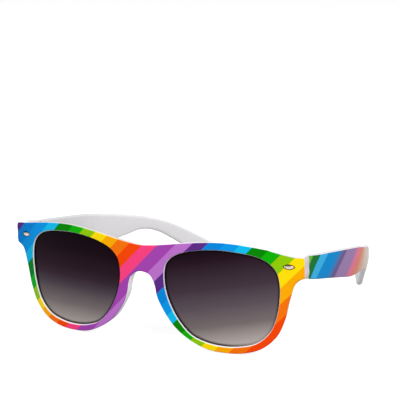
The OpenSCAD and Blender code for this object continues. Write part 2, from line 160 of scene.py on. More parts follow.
# How wide the rim is below the lens, at the outline's points from the cheek round to the nose
RIM_FROM = 10
rim_width = [4.7, 4.22, 3.98, 3.74, 3.68, 3.5, 3.5, 3.08, 4.088, 4.886, 5.6]
top_shape = [
    (-0.96, 0.9), (-0.66, 2.1), (-0.34, 3.1), (0, 3.7), (0.31, 3.4), (0.62, 2.5), (0.94, 1.2),
]
corner = [
    (-6, 0.75), (-3.2, 0.3), (-1.4, -0.05), (-0.4, -0.45), (0, -1.5), (0, -4.95), (-0.02, -8.8),
    (-0.4, -9.7), (-1.4, -10.15), (-2.8, -10.8), (-3.8, -11.7), (-4.4, -12.9), (-4.9, -14.4),
    (-5.5, -16.6),
]
eye_normals = outward(eye_points)
half = (
    [(6, BRIDGE_TOP + 0.5)]
    + [(EYE_X + a * HALF_W, HALF_H + b) for a, b in top_shape]
    + [(END_X + a, END_TOP + b) for a, b in corner]
    + [tuple(eye_points[i] + w * eye_normals[i]) for i, w in enumerate(rim_width, RIM_FROM)]
    + [(EYE_GAP / 2 - 4.9, BRIDGE_LOW - 6.1), (EYE_GAP / 2 - 5.9, BRIDGE_LOW - 3.2),
       (EYE_GAP / 2 - 7.2, BRIDGE_LOW - 1.3)]
)
front_outline = smooth_curve(
    [(0, BRIDGE_TOP)] + half + [(0, BRIDGE_LOW)] + [(-x, z) for x, z in half[::-1]], 8
)
span = np.ptp(front_outline, axis=0)
print(f"front {span[0]:.1f} x {span[1]:.1f} mm, lens outline {EYE_W} x {EYE_H} mm")

# %% [markdown]
# A shell made of rings
#
# The front is one moulding: a face and a back that follow two cylinders, joined by edges with a small
# round, with two openings, a groove in each for the lens, two pits for the rivets and two pockets for
# the hinges. Cutting all of that with Booleans leaves long thin faces that shade badly.
# Here each edge is a stack of rings. A ring is an outline moved in or out by a little, at one depth.
# Bands of quads join the rings, and what is left, the face and the back, is filled with even
# triangles by a constrained Delaunay fill that respects every hole. The result is one closed skin.


# %% Rings, bands and fills
ROW, AT_ONCE = 0.87, 500


class Skin:
    """Collects the points and faces of one closed skin, in upright millimetres."""

    def __init__(self):
        self.points, self.faces = [], []

    def ring(self, xyz):
        """Adds points and returns their numbers."""
        first = len(self.points)
        self.points += [tuple(map(float, p)) for p in xyz]
        return list(range(first, len(self.points)))

    def band(self, a, b):
        n = len(a)
        self.faces += [(a[i], a[(i + 1) % n], b[(i + 1) % n], b[i]) for i in range(n)]

    def bands(self, rings):
        for a, b in zip(rings, rings[1:]):
            self.band(a, b)

    def fan(self, ring, centre):
        (c,) = self.ring([centre])
        self.faces += [(ring[i], ring[(i + 1) % len(ring)], c) for i in range(len(ring))]

    def fill(self, outer, holes, depth, step, lines=()):
        """Even triangles between an outer ring and holes, at a depth given by x and z.

        Rows are ROW steps apart and shifted by half a step. Points too near an edge are left out,
        but the extra points in lines may come closer, because they mark a bend in the surface."""
        loops = [outer] + list(holes)
        flat = [np.array([(self.points[i][0], self.points[i][2]) for i in loop]) for loop in loops]
        low, high = flat[0].min(0), flat[0].max(0)
        nx, nz = np.ceil((high - low) / step).astype(int)
        grid = np.array([
            (low[0] + (i + 0.5 * (k % 2)) * step, low[1] + k * step * ROW)
            for i in range(nx + 1) for k in range(int(nz / ROW) + 2)
        ] + list(lines))
        edge_points = np.concatenate(flat)
        gap = np.array([np.min(np.sum((edge_points - g) ** 2, 1)) for g in grid]) ** 0.5
        clear = np.full(len(grid), 0.45 * step)
        clear[len(grid) - len(lines):] = 0.15
        grid = grid[(gap > clear) & inside(grid, flat)]
        ids = [i for loop in loops for i in loop]
        ids += self.ring([(x, depth(x, z), z) for x, z in grid])
        edges, start = [], 0
        for loop in loops:
            n = len(loop)
            edges += [(start + i, start + (i + 1) % n) for i in range(n)]
            start += n
        flat_points = [Vector(p) for p in np.concatenate([edge_points, grid])]
        points, _, faces, origin, _, _ = delaunay_2d_cdt(flat_points, edges, [], 0, 1e-7)
        middles = np.array([np.mean([points[i] for i in f], 0) for f in faces])
        for f, keep in zip(faces, inside(middles, flat)):
            if keep:
                self.faces.append(tuple(ids[origin[i][0]] for i in f))

    def mesh(self, name, crease=38):
        data = bpy.data.meshes.new(name)
        data.from_pydata(placed(self.points).tolist(), [], self.faces)
        return finished_mesh(data, crease)


def inside(points, loops):
    """Even-odd test: in the first loop and in none of the others."""
    odd = np.zeros(len(points), bool)
    for loop in loops:
        a, b = loop, np.roll(loop, -1, 0)
        for s in range(0, len(points), AT_ONCE):
            p = points[s:s + AT_ONCE]
            x, z = p[:, 0, None], p[:, 1, None]
            crosses = (a[:, 1] > z) != (b[:, 1] > z)
            rise = np.where(crosses, b[:, 1] - a[:, 1], 1)
            at = a[:, 0] + (z - a[:, 1]) / rise * (b[:, 0] - a[:, 0])
            odd[s:s + AT_ONCE] ^= (np.sum(crosses & (x < at), axis=1) % 2).astype(bool)
    return odd


def finished_mesh(data, crease):
    """Closed seams, normals outwards, smooth shading with real creases kept sharp."""
    shape = bmesh.new()
    shape.from_mesh(data)
    bmesh.ops.remove_doubles(shape, verts=shape.verts, dist=2e-7)
    bmesh.ops.recalc_face_normals(shape, faces=shape.faces)
    open_edges = sum(not e.is_manifold for e in shape.edges)
    volume = shape.calc_volume(signed=True)
    if volume < 0:
        bmesh.ops.reverse_faces(shape, faces=shape.faces)
    shape.to_mesh(data)
    shape.free()
    data.shade_smooth()
    data.set_sharp_from_angle(angle=math.radians(crease))
    print(f"  {data.name}: {len(data.polygons)} faces, {open_edges} open edges, {abs(volume) * 1e9:.0f} mm3")
    return data


def as_object(name, data):
    piece = bpy.data.objects.new(name, data)
    bpy.context.scene.collection.objects.link(piece)
    return piece


# %% [markdown]
# The edges of the moulding
#
# Every outer edge and every opening has the same small round, a quarter of an ellipse: the tool that
# cut the mould left it, and tumbling softened it. The round matters for the looks. The print lies on
# the face only, so the white plastic shows as a thin pale line wherever the edge turns away. Beside
# the nose the line is thinner, so there the round of the openings is narrower.
# Inside an opening the wall runs straight back to a groove. The lens sits in that groove with a hair
# of room in front of it, which shows as a thin dark line round each lens, deepened by painted shade on
# the groove wall and on the pane's edge. The openings are cut up to
# half a millimetre outside the lens outline, while grooves and lenses keep to it.
# The outer wall leans in towards the back, as a mould needs to let go of the part: all along the top
# and the cheeks, but not at the end-pieces, where the temples close against it, nor beside the nose.

# %% Openings, the stepped back and the lean of the wall
RETURN_X, RETURN_W = 68.52, 0.12
BACK_IN = 1.2


def ease(t):
    """0 up to 0, 1 from 1 on, smooth between."""
    t = np.clip(t, 0, 1)
    return t * t * (3 - 2 * t)


# Widest beside the nose, a little less at the cheek, and hardly wider at the top
towards_cheek = ease((eye_outline[:, 0] - 18) / 30)
towards_top = ease((eye_outline[:, 1] - 9) / 9)
widen = (0.5 - 0.15 * towards_cheek) * (1 - 0.75 * towards_top)
opening = grown(eye_outline, widen)


def back_y(x):
    """The back follows the inner cylinder, then steps out to the flat hinge seat."""
    t = np.clip((np.abs(x) - RETURN_X) / RETURN_W, 0, 1)
    return shell_y(x) + (SEAT_Y - shell_y(x)) * t


a, z = np.abs(front_outline[:, 0]), front_outline[:, 1]
off_nose = np.where(z > BRIDGE_LOW + 4, 1, ease((a - 14) / 12))
at_end = ease((a - END_X + 6.5) / 3) * ease((z - END_LOW + 5) / 3)
lean_in = BACK_IN * off_nose * (1 - at_end)
print(f"openings {widen.min():.2f} to {widen.max():.2f} mm outside the lens outline")

# %% Rounded edges
EDGE_IN, EDGE_DEEP, BACK_EDGE = 0.6, 0.9, 0.3


def quarter(width, depth, steps=5):
    """(move along the surface, depth) round a quarter of an ellipse, from the face to the wall."""
    turn = np.linspace(0, math.pi / 2, steps + 1)
    return list(zip(width * (1 - np.sin(turn)), depth * (1 - np.cos(turn))))


def edge_rings(skin, outline, sign, flip):
    """Rings over a rounded edge, on the face side and on the back side.

    The sign is -1 for the outer edge, which rounds inwards and leans, and 1 for an opening. The third
    value is the function that adds one more ring at a move, a depth and a surface."""
    def at(move, depth, surface):
        line = grown(outline, sign * move)
        y = surface(line[:, 0]) + depth
        if sign < 0:
            front_y = face_y(line[:, 0])
            line = grown(outline, -move - lean_in * (y - front_y) / (back_y(line[:, 0]) - front_y))
            y = surface(line[:, 0]) + depth
        return skin.ring(np.stack([line[:, 0] * flip, y, line[:, 1]], 1))

    if sign < 0:
        narrow, margin, back_round = 1, 0.1, (EDGE_IN, EDGE_DEEP)
    else:
        narrow, margin, back_round = 0.45 + 0.55 * ease((outline[:, 0] - 14) / 30), 0.35, (BACK_EDGE,) * 2
    front_side = [at(EDGE_IN * narrow + margin, 0, face_y)]
    front_side += [at(m * narrow, d, face_y) for m, d in quarter(EDGE_IN, EDGE_DEEP)]
    back_side = [at(m, -d, back_y) for m, d in reversed(quarter(*back_round))]
    back_side.append(at(back_round[0] + margin, 0, back_y))
    return front_side, back_side, at


# %% Pits for the rivets
RIVET_X, RIVET_Z = END_X - 6.5, END_TOP - 4.75
RIVET_W, RIVET_H = 4.9, 1.85
RIVET_TURN, RIVET_TILT = math.asin(RIVET_X / FACE_R), math.radians(2)
PIT_DEEP, PIT_ROOM = 0.6, 0.3


def almond(width, height, count=36):
    """Outline where two circles overlap, clockwise from the left point."""
    r = (width**2 + height**2) / (4 * height)
    turn = np.linspace(-1, 1, count // 2 + 1)[:-1] * math.asin(width / 2 / r)
    upper = np.stack([r * np.sin(turn), r * np.cos(turn) - r + height / 2], 1)
    return np.concatenate([upper, -upper])


def on_face(u, w, depth, flip):
    """A place u across and w up from the rivet's middle, square to the curved face."""
    x = RIVET_X + u * math.cos(RIVET_TURN) - depth * math.sin(RIVET_TURN)
    y = face_y(RIVET_X) + u * math.sin(RIVET_TURN) + depth * math.cos(RIVET_TURN)
    return np.stack([x * flip, y, RIVET_Z + w], -1)


def rivet_pit(skin, flip):
    """A flat-bottomed pit round the rivet, tilted with it. Returns the ring on the face."""
    rim = almond(RIVET_W + 2 * PIT_ROOM, RIVET_H + 2 * PIT_ROOM)
    rim = np.stack([rim @ (math.cos(RIVET_TILT), math.sin(RIVET_TILT)),
                    rim @ (-math.sin(RIVET_TILT), math.cos(RIVET_TILT))], 1)
    mouth = on_face(rim[:, 0], rim[:, 1], 0.0, flip)
    mouth[:, 1] = face_y(mouth[:, 0])
    floor = on_face(rim[:, 0], rim[:, 1], PIT_DEEP, flip)
    pit = [skin.ring(mouth), skin.ring(floor)]
    skin.bands(pit)
    skin.fan(pit[1], on_face(0.0, 0.0, PIT_DEEP, flip))
    return pit[0]


# %% Pockets, grooves and the whole moulding
GROOVE_FROM, GROOVE_TO, GROOVE_REACH = 0.95, 2.75, 1.05
POCKET_X0, POCKET_X1, POCKET_MIDDLE = 62.26, 68.4, 65.3
POCKET_HALF_H, POCKET_DEEP = 3.12, 0.94
FILL_STEP = 1.5


def hinge_pocket(skin, flip):
    """A pocket for the hinge plate. Returns the ring on the back."""
    low, high = HINGE[2] - POCKET_HALF_H, HINGE[2] + POCKET_HALF_H
    corners = np.array([(POCKET_X0, high), (POCKET_X1, high), (POCKET_X1, low), (POCKET_X0, low)])
    share = np.linspace(0, 1, 9)[:-1, None]
    box = np.concatenate([a + (b - a) * share for a, b in zip(corners, np.roll(corners, -1, 0))])
    pocket = [
        skin.ring(np.stack([box[:, 0] * flip, shell_y(box[:, 0]) - d, box[:, 1]], 1))
        for d in (0, POCKET_DEEP)
    ]
    skin.bands(pocket)
    skin.fan(pocket[1], (POCKET_MIDDLE * flip, float(shell_y(POCKET_MIDDLE)) - POCKET_DEEP, HINGE[2]))
    return pocket[0]


def lens_opening(skin, flip):
    """An opening with its groove. Returns the ring on the face and the ring on the back."""
    fore, aft, at = edge_rings(skin, opening, 1, flip)
    reach = GROOVE_REACH - widen
    groove = [
        at(0, GROOVE_FROM, face_y), at(reach, GROOVE_FROM, face_y),
        at(reach, GROOVE_TO, face_y), at(0, GROOVE_TO, face_y),
    ]
    skin.bands(fore + groove + aft)
    return fore[0], aft[-1]


def front_skin():
    skin = Skin()
    front_side, back_side, _ = edge_rings(skin, front_outline, -1, 1)
    skin.bands(front_side + back_side)
    face_holes, back_holes, seat_lines = [], [], []
    for flip in (1, -1):
        on_front, on_back = lens_opening(skin, flip)
        face_holes += [on_front, rivet_pit(skin, flip)]
        back_holes += [on_back, hinge_pocket(skin, flip)]
        for x in (RETURN_X, RETURN_X + RETURN_W):
            seat_lines += [(x * flip, z) for z in np.arange(END_LOW - 2, END_TOP + 1, 0.4)]
    skin.fill(front_side[0], face_holes, lambda x, z: float(face_y(x)), FILL_STEP)
    skin.fill(back_side[-1], back_holes, lambda x, z: float(back_y(x)), FILL_STEP, seat_lines)
    return skin


front = front_skin()

# %% [markdown]
# Nose pads
#
# On a pair like this the pads aren't added: the mould has two hollows on the nose side, so the pads
# come out in one with the front. Each pad is a run of ovals along the rim that swells in its middle
# and leans away from the nose. The run starts inside the rim, so that the two skins overlap and no
# gap can show. A sculpted blob would be quicker, but it would not keep to the pad's drawn line.
# The finished front then remembers which of its points lie in an opening: the print wraps further
# round the outer edges than round theirs, and painted shade of the groove darkens the wall in the openings
# only.

# %% Nose pads on the front
pad_line = smooth_curve([(9.2, 5), (9.5, 2), (10.4, -2), (12.1, -6), (14.6, -9.8)], 8, closed=False)
PAD_OUT, PAD_T, PAD_SUNK, PAD_FLARE, PAD_POINTS = 4.6, 3.0, 2.0, math.radians(38), 28


def nose_pad(skin, flip):
    """Ovals along the pad's line, widest in the middle, closed at both ends."""
    n = len(pad_line)
    turn = np.linspace(0, 2 * math.pi, PAD_POINTS + 1)[:-1]
    rings = []
    for j, (x, z) in enumerate(pad_line):
        t = j / (n - 1)
        swell = math.sqrt(max(0.04, 1 - (2 * t - 1) ** 2))
        way = pad_line[min(n - 1, j + 1)] - pad_line[max(0, j - 1)]
        way = way / np.linalg.norm(way)
        half_l = (PAD_OUT / 2 + 1.2) * (0.45 + 0.55 * swell) * min(1, swell + 0.25)
        half_t = PAD_T / 2 * min(1, swell + 0.35)
        u, v = half_t * np.cos(turn), half_l * np.sin(turn)
        across = u * math.cos(PAD_FLARE) + v * math.sin(PAD_FLARE)
        back = v * math.cos(PAD_FLARE) - u * math.sin(PAD_FLARE)
        y = float(face_y(x)) + FRONT_T - PAD_SUNK + half_l + back
        rings.append(skin.ring(np.stack([(x - way[1] * across) * flip, y, z + way[0] * across], 1)))
    skin.bands(rings)
    for ring in (rings[0], rings[-1]):
        skin.fan(ring, np.mean([skin.points[i] for i in ring], 0))


for flip in (1, -1):
    nose_pad(front, flip)
front_data = front.mesh("front_moulding")

# %% Which points of the front lie in an opening
EDGE_REACH = 0.62


def drawn(data):
    """The points of a mesh, back in upright millimetres."""
    return (np.array([v.co for v in data.vertices]) - PLACE) @ TURN * 1000


def keep_value(data, name, values):
    """A number on each point, for the material."""
    data.attributes.new(name, "FLOAT", "POINT").data.foreach_set("value", values)


upright = drawn(front_data)
in_eye = inside(np.stack([np.abs(upright[:, 0]), upright[:, 2]], 1), [grown(opening, EDGE_REACH)])
keep_value(front_data, "in_eye", in_eye.astype(float))
front_moulding = as_object("front_moulding", front_data)
print("points in the openings:", int(in_eye.sum()))

# %% [markdown]
# Lens panes
#
# A lens of this kind is stamped from a tinted sheet that is already bent, then clicked into the
# groove. So it is a slice between two cylinders, cut a millimetre larger than its drawn outline all
# round. A single curved surface would look the same from the front, but from the side and in the
# opening's edge the thickness shows, so the pane is closed. Each point keeps its distance from the
# opening's edge, for the painted shade and dark reflection where the pane meets its groove.

# %% Lens panes
LENS_FROM, LENS_T, LENS_REACH, LENS_FILL = 1.1, 1.6, 1.0, 1.6
RIM_RINGS = (0, -0.3, -0.7, -1.2)


def lens_pane(name, flip):
    skin = Skin()
    sides = []
    for d in (LENS_FROM, LENS_FROM + LENS_T):
        rings = []
        for move in (LENS_REACH, *RIM_RINGS):
            line = grown(eye_outline, move)
            y = face_y(line[:, 0]) + d
            rings.append(skin.ring(np.stack([line[:, 0] * flip, y, line[:, 1]], 1)))
        skin.bands(rings)
        skin.fill(rings[-1], [], lambda x, z, d=d: float(face_y(x)) + d, LENS_FILL)
        sides.append(rings[0])
    skin.band(*sides)
    data = skin.mesh(name, crease=30)
    seen = drawn(data)[:, [0, 2]] * (flip, 1)
    gap = np.array([np.min(np.hypot(*(opening - p).T)) for p in seen])
    gap[~inside(seen, [opening])] = 0
    keep_value(data, "inside", gap)
    return as_object(name, data)


lens_left = lens_pane("lens_pane_left", 1)
lens_right = lens_pane("lens_pane_right", -1)

# %% [markdown]
# One small class for every node tree
#
# Node trees are graphs, and graphs are tedious to wire by hand. Here a wire stands for one output
# socket. Sums and products on wires add Math nodes, also with the wire on the right, as in 1 - mask.
# Any other node comes from one method, which takes the node's type, its settings and its inputs.
# The same class serves the geometry trees and the materials, because both have the same Math node.


# %% Wires and boards
class Wire:
    """One output socket of a node, which can be added, multiplied and faded."""

    def __init__(self, board, socket):
        self.board, self.socket = board, socket

    def maths(self, operation, *values):
        inputs = dict(enumerate(values))
        return self.board.node("ShaderNodeMath", {"operation": operation}, inputs)

    def __add__(self, other):
        return self.maths("ADD", self, other)

    def __sub__(self, other):
        return self.maths("SUBTRACT", self, other)

    def __rsub__(self, other):
        return self.maths("SUBTRACT", other, self)

    def __mul__(self, other):
        return self.maths("MULTIPLY", self, other)

    def __truediv__(self, other):
        return self.maths("DIVIDE", self, other)

    def __rtruediv__(self, other):
        return self.maths("DIVIDE", other, self)

    __radd__, __rmul__ = __add__, __mul__

    def f(self, operation, *others):
        """Any other Math operation on this wire, such as SINE or FLOOR."""
        return self.maths(operation, self, *others)

    def fade(self, low, high):
        """0 at low, 1 at high, smooth between."""
        settings = {"interpolation_type": "SMOOTHSTEP"}
        ends = {"Value": self, "From Min": low, "From Max": high, "To Min": 0, "To Max": 1}
        return self.board.node("ShaderNodeMapRange", settings, ends)


class Board:
    """A node tree, and the one method that adds nodes to it."""

    def __init__(self, tree):
        self.tree = tree

    def node(self, kind, settings=None, inputs=None, out=0):
        made = self.tree.nodes.new(kind)
        for key, value in (settings or {}).items():
            setattr(made, key, value)
        for key, value in (inputs or {}).items():
            socket = found(made.inputs, key)
            if isinstance(value, Wire):
                self.tree.links.new(value.socket, socket)
            else:
                socket.default_value = value
        return Wire(self, found(made.outputs, out))


def found(sockets, key):
    """A socket by its number, or by its name among those in use."""
    if isinstance(key, int):
        return sockets[key]
    return next(s for s in sockets if s.enabled and s.name == key)


# %% [markdown]
# Geometry Nodes for what follows a rule
#
# A temple is one rounded rectangle that travels along a line and changes on the way: deep at the
# middle, thin over the ear, and rounded off at the tip. That is a rule, so a node tree makes it.
# The line is a string of stations. Each station holds a place, two directions and its sizes. The
# tree lays out a grid with a row for each station and a column for each point of the section, asks
# for the station of its row, and moves every point into place. The seam along the section closes
# when points that meet are merged. One tree makes both temples, from two strings of stations.


# %% A tree that sweeps a rounded section along stations
def new_tree(name, inputs):
    """A geometry tree with named inputs, and a wire for each of them."""
    tree = bpy.data.node_groups.new(name, "GeometryNodeTree")
    for title, kind in inputs.items():
        tree.interface.new_socket(title, in_out="INPUT", socket_type="NodeSocket" + kind)
    tree.interface.new_socket("Geometry", in_out="OUTPUT", socket_type="NodeSocketGeometry")
    board = Board(tree)
    entry = tree.nodes.new("NodeGroupInput")
    wires = {title: Wire(board, found(entry.outputs, title)) for title in inputs}
    return tree, board, wires


def close_tree(board, shape, material):
    """Ends a tree: real geometry with its material."""
    shape = board.node("GeometryNodeRealizeInstances", {}, {"Geometry": shape})
    shape = board.node("GeometryNodeSetMaterial", {}, {"Geometry": shape, "Material": material})
    out = board.tree.nodes.new("NodeGroupOutput")
    board.tree.links.new(shape.socket, out.inputs[0])


def sweep_tree():
    tree, board, given = new_tree("section_sweep", {
        "Stations": "Geometry", "Corner Points": "Int", "Merge Distance": "Float", "Material": "Material",
    })
    n, stations = board.node, given["Stations"]
    rows = n("GeometryNodeAttributeDomainSize", {"component": "MESH"}, {"Geometry": stations})
    per_corner = given["Corner Points"]
    columns = per_corner * 4 + 1
    grid = n("GeometryNodeMeshGrid", {}, {"Vertices X": rows, "Vertices Y": columns})
    index = n("GeometryNodeInputIndex")
    row = ((index + 0.5) / columns).f("FLOOR")
    column = index - row * columns

    def of_row(value, kind):
        settings = {"data_type": kind, "domain": "POINT"}
        return n("GeometryNodeSampleIndex", settings, {"Geometry": stations, "Value": value, "Index": row})

    def station(name, kind):
        return of_row(n("GeometryNodeInputNamedAttribute", {"data_type": kind}, {"Name": name}), kind)

    centre = of_row(n("GeometryNodeInputPosition"), "FLOAT_VECTOR")
    across, upward = station("across", "FLOAT_VECTOR"), station("upward", "FLOAT_VECTOR")
    half_t, half_h, round_r = (station(k, "FLOAT") for k in ("half_t", "half_h", "round_r"))

    corner_number = ((column + 0.5) / per_corner).f("FLOOR")
    in_corner = (column - corner_number * per_corner) / (per_corner - 1)
    angle = (corner_number + in_corner) * (math.pi / 2)
    middle = (corner_number + 0.5) * (math.pi / 2)
    q_across = middle.f("COSINE").f("SIGN") * (half_t - round_r) + angle.f("COSINE") * round_r
    q_upward = middle.f("SINE").f("SIGN") * (half_h - round_r) + angle.f("SINE") * round_r

    def along(direction, amount):
        return n("ShaderNodeVectorMath", {"operation": "SCALE"}, {"Vector": direction, "Scale": amount})

    def added(a, b):
        return n("ShaderNodeVectorMath", {"operation": "ADD"}, {0: a, 1: b})

    place = added(centre, added(along(across, q_across), along(upward, q_upward)))
    shape = n("GeometryNodeSetPosition", {}, {"Geometry": grid, "Position": place})
    kept = {"behind": station("behind", "FLOAT"), "depth": station("full_t", "FLOAT") - q_across}
    for name, value in kept.items():
        settings = {"data_type": "FLOAT", "domain": "POINT"}
        inputs = {"Geometry": shape, "Name": name, "Value": value}
        shape = n("GeometryNodeStoreNamedAttribute", settings, inputs)
    shape = n("GeometryNodeMergeByDistance", {}, {"Geometry": shape, "Distance": given["Merge Distance"]})
    close_tree(board, shape, given["Material"])
    return tree


def run_tree(name, tree, base, values, crease):
    """Runs a tree on a base mesh and keeps the result as a plain mesh."""
    carrier = as_object(name + "_carrier", base)
    modifier = carrier.modifiers.new("rule", "NODES")
    modifier.node_group = tree
    for item in tree.interface.items_tree:
        if item.in_out == "INPUT" and item.name in values:
            modifier[item.identifier] = values[item.name]
    graph = bpy.context.evaluated_depsgraph_get()
    data = bpy.data.meshes.new_from_object(carrier.evaluated_get(graph), depsgraph=graph)
    carrier.modifiers.remove(modifier)
    bpy.data.objects.remove(carrier)
    data.name = name
    return as_object(name, finished_mesh(data, crease))


section_sweep = sweep_tree()
print("section sweep:", len(section_sweep.nodes), "nodes")

# %% [markdown]
# The line of a temple
#
# Seen from the side the temple's middle line runs back almost level, then drops over the ear. Seen
# from above it runs straight, then bows inwards, because the blade was bent warm to grip the head.
# Both lines and the blade's height are one short list, the same as in the CAD source. Temples are
# bent by hand, so no two are quite alike: a second list gives each side its own small change.
# The stations at each end shrink to a dot, at the hinge end with a narrow bevel, at the tip with a
# dome. The dot is 0.02 mm across and the merge distance is a tenth of that, so a hole as small as the
# dot is left at each end. A dot smaller than the merge distance would close it.

# %% The middle line of each temple
# Distance behind the seat, height above the hinge, height of the blade, distance inward
MID_LINE = [
    (0, 0, 10.4, 0), (10, -2.3, 10.69, 0), (20, -4.2, 11.34, -0.4), (32, -6.6, 12.08, -0.65),
    (44, -9, 12.63, -0.55), (52, -10.6, 12.8, 0.1), (60, -12.3, 12.8, 1.45), (68, -13.8, 12.66, 3.8),
    (76, -14.4, 10.25, 6.7), (83, -14.7, 7.35, 9.4), (90, -16, 5.9, 12.2), (97, -18.9, 6.12, 15.2),
    (104, -23.2, 6.99, 18.7), (112, -29, 7.76, 23.1), (119, -34.8, 8.63, 27.5), (124, -40.2, 9, 31),
]
# By distance behind the seat: what is added to the middle line's height, and to the blade's. The left
# temple drops and narrows earlier, and the right one's arch is a hair fuller.
BENT = {
    "left": {
        52: (0.5, -1.0), 60: (0.5, -1.6), 68: (-0.2, -1.6), 76: (-1.0, -0.6), 83: (-1.3, 0),
        90: (-1.4, 0), 97: (-1.3, 0), 104: (-0.9, 0), 112: (-0.3, 0),
    },
    "right": {44: (0.2, 0), 52: (0.4, 0), 60: (0.45, 0), 68: (0.45, 0), 76: (0.4, 0), 83: (0.3, 0)},
}


def bent_line(side):
    """Rows of distance behind the seat, rise, height and distance inward, for one temple."""
    points = []
    for s, rise, height, inward in MID_LINE:
        up, taller = BENT[side].get(s, (0, 0))
        points.append((s, rise + up, height + taller, inward))
    return smooth_curve(points, 8, closed=False)


for side in BENT:
    print(f"{side} temple: the tip's end is {-bent_line(side)[-1][1]:.1f} mm below the hinge")

# %% Stations of a temple
TEMPLE_X = END_X - 0.3
TEMPLE_T, TIP_T, TEMPLE_LEN, SEAT_GAP = 3.6, 2.8, 128.0, 0.1
# Behind the seat, and how much smaller the section is there on each side
SEAT_BEVEL = ((0, 0.3), (0.1, 0.1), (0.35, 0))
TIP_CAP = (0.2, 0.38, 0.54, 0.68, 0.79, 0.87, 0.93, 0.97, 0.985)
POINT = 0.01


def blade_rows(side):
    """Behind the seat, rise, inward, direction, lean, half height, half thickness, its full value."""
    line = bent_line(side)
    rows = []
    for i, (s, rise, height, inward) in enumerate(line):
        step = line[min(len(line) - 1, i + 1)] - line[max(0, i - 1)]
        way = step[:2] / np.linalg.norm(step[:2])
        square = float(ease(s / 12))
        way = np.array([way[0], way[1] * square])
        half_t = (TEMPLE_T + (TIP_T - TEMPLE_T) * s / TEMPLE_LEN) / 2
        lean = square * step[3] / step[0]
        rows.append([s, rise, inward, way / np.linalg.norm(way), lean, height / 2, half_t, half_t])

    first = rows.pop(0)
    start = [[0, *first[1:5], POINT, POINT, first[7]]]
    start += [[s, *first[1:5], first[5] - by, first[6] - by, first[7]] for s, by in SEAT_BEVEL]
    step = line[-1] - line[-2]
    way = step[:2] / np.linalg.norm(step[:2])
    lean = step[3] / step[0]
    s, rise, height, inward = line[-1]
    r, t = height / 2, TIP_T / 2
    tip = [
        [s + way[0] * k * r, rise + way[1] * k * r, inward + way[0] * k * r * lean, way, lean,
         r * math.sqrt(1 - k * k), t * (1 - 0.5 * k * k), t]
        for k in TIP_CAP
    ]
    return start + rows + tip + [[*tip[-1][:5], POINT, POINT, t]]


def station_mesh(side, flip):
    """A string of points that hold the stations, ready for the tree."""
    lengths = ("half_t", "half_h", "round_r", "full_t", "behind")
    points, facts = [], {key: [] for key in ("across", "upward", *lengths)}
    for s, rise, inward, way, lean, half_h, half_t, full in blade_rows(side):
        m = math.hypot(1, lean)
        x, y = TEMPLE_X - inward - full / m, SEAT_Y + SEAT_GAP + s - full * lean / m
        points.append((x * flip, y, HINGE[2] + rise))
        facts["across"].append(TURN @ (flip / m, lean / m, 0))
        facts["upward"].append(TURN @ (way[1] * lean * flip, -way[1], way[0]))
        # Flat sides with small corners at the blade, nearly round at the tip
        round_share = 0.45 + 0.45 * ease((s - 40) / 30)
        round_r = min(0.45 * half_h, round_share * half_t)
        for key, value in zip(lengths, (half_t, half_h, round_r, full, s)):
            facts[key].append(value * 0.001)
    data = bpy.data.meshes.new(f"stations_{side}")
    data.from_pydata(placed(points).tolist(), [], [])
    for key, values in facts.items():
        vector = key in ("across", "upward")
        layer = data.attributes.new(key, "FLOAT_VECTOR" if vector else "FLOAT", "POINT")
        layer.data.foreach_set("vector" if vector else "value", np.ravel(values))
    return data


temples = {
    side: run_tree(
        f"temple_blade_{side}", section_sweep, station_mesh(side, flip),
        {"Corner Points": 7, "Merge Distance": 2e-6}, 34,
    )
    for side, flip in (("left", 1), ("right", -1))
}

# %% [markdown]
# Rivets, set by a tree
#
# The rivets are the same stamped head twice, square to the curved face on each side, with the outer
# end a touch lower. A head is a ring stack: a wall, a small round and a crowned top. The tree takes
# the head as an object, puts an instance on each point of a small mesh, turns it by the point's own
# angles, and makes it real. Copying the mesh in Python would do for two, but the tree serves any
# number, and the places and angles stay as data on points.


# %% A tree that sets one head on many points
def setting_tree():
    inputs = {"Points": "Geometry", "Head": "Object", "Material": "Material"}
    tree, board, given = new_tree("set_heads", inputs)
    n = board.node
    head = n("GeometryNodeObjectInfo", {}, {"Object": given["Head"], "As Instance": True}, "Geometry")
    turn = n("GeometryNodeInputNamedAttribute", {"data_type": "FLOAT_VECTOR"}, {"Name": "turn"})
    turn = n("FunctionNodeEulerToRotation", {}, {0: turn})
    spots = {"Points": given["Points"], "Instance": head, "Rotation": turn}
    close_tree(board, n("GeometryNodeInstanceOnPoints", {}, spots), given["Material"])
    return tree


def set_heads(name, head, places, turns, crease=34):
    """One mesh with a copy of the head at each place."""
    spots = bpy.data.meshes.new(name + "_spots")
    spots.from_pydata([tuple(p) for p in places], [], [])
    layer = spots.attributes.new("turn", "FLOAT_VECTOR", "POINT")
    layer.data.foreach_set("vector", np.ravel(turns))
    made = run_tree(name, set_heads_tree, spots, {"Head": head}, crease)
    bpy.data.objects.remove(head)
    return made


def head_object(name, rings_mm, caps):
    """A closed head from rings in its own millimetres, with a middle point at each end."""
    skin = Skin()
    rings = [skin.ring(r) for r in rings_mm]
    skin.bands(rings)
    skin.fan(rings[0], caps[0])
    skin.fan(rings[-1], caps[1])
    data = bpy.data.meshes.new(name)
    data.from_pydata((np.array(skin.points) * 0.001).tolist(), [], skin.faces)
    return as_object(name, finished_mesh(data, 34))


set_heads_tree = setting_tree()
print("setting tree:", len(set_heads_tree.nodes), "nodes")

# %% Rivet heads
RIVET_PROUD, RIVET_SINK = 0.3, 0.5
crown_r = (RIVET_W**2 / 4 + RIVET_PROUD**2) / (2 * RIVET_PROUD)
# Share of the outline, and how far below the crown; the first ring is the foot of the wall
HEAD_RINGS = (
    (1, None), (1, 0.36), (0.96, 0.2), (0.89, 0.08), (0.8, 0.02), (0.68, 0), (0.45, 0), (0.2, 0),
)


